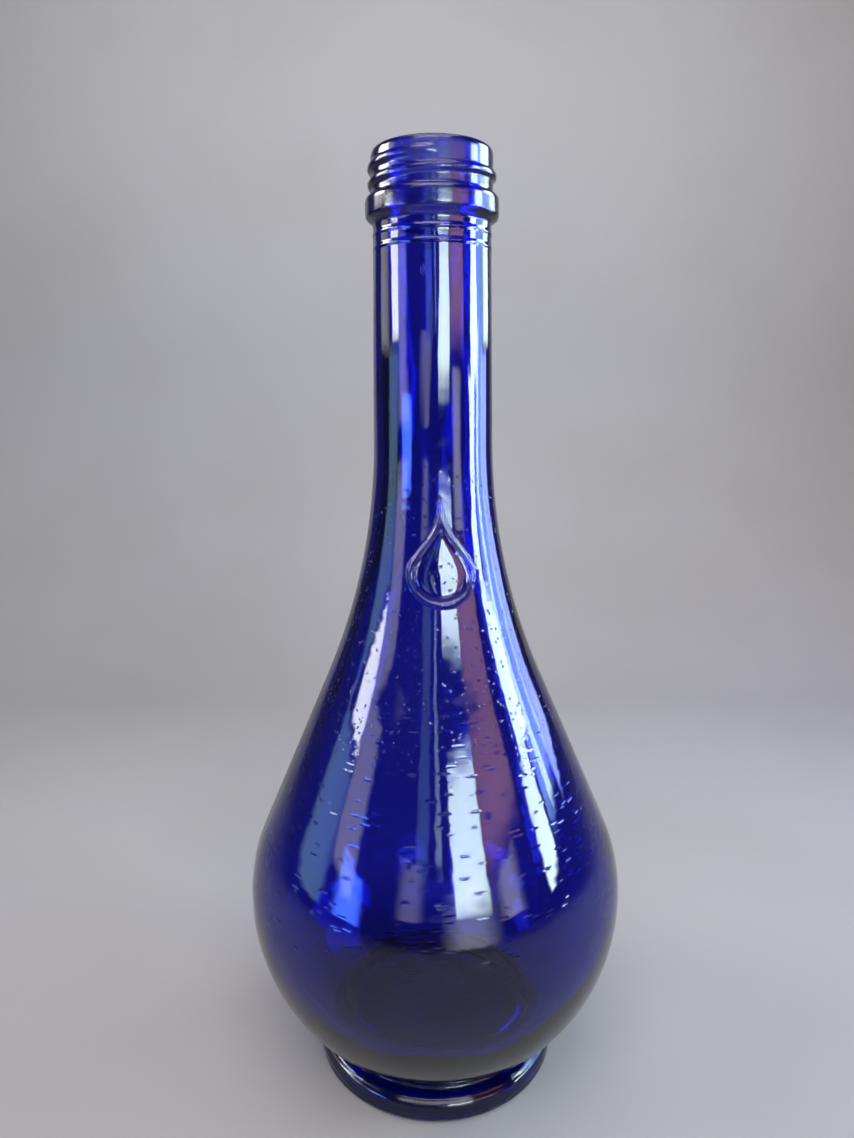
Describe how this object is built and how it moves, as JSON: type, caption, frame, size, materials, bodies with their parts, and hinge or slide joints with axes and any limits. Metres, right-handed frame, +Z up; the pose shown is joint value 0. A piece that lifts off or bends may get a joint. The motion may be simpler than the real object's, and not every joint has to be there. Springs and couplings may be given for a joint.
{
  "type": "glass bottle",
  "caption": "Long-necked cobalt blue glass bottle with a round belly, a stepped foot, a raised drop on the flare and a threaded mouth with a collar.",
  "frame": {"origin": "centre of the foot's bearing ring, on the ground", "axes": "+Z runs up the neck, and -Y is the front, where the raised drop is"},
  "size_m": [0.0886, 0.0886, 0.2102],
  "materials": {
    "cobalt_glass": "gloss"
  },
  "bodies": {
    "root": {"base_plate": "cobalt_glass", "foot_ring": "cobalt_glass", "heel": "cobalt_glass", "belly": "cobalt_glass", "shoulder": "cobalt_glass", "flare": "cobalt_glass", "neck": "cobalt_glass", "neck_ring": "cobalt_glass", "collar": "cobalt_glass", "finish_barrel": "cobalt_glass", "screw_thread": "cobalt_glass", "lip": "cobalt_glass", "drop_bevel": "cobalt_glass", "drop_boss": "cobalt_glass"}
  },
  "joints": []
}
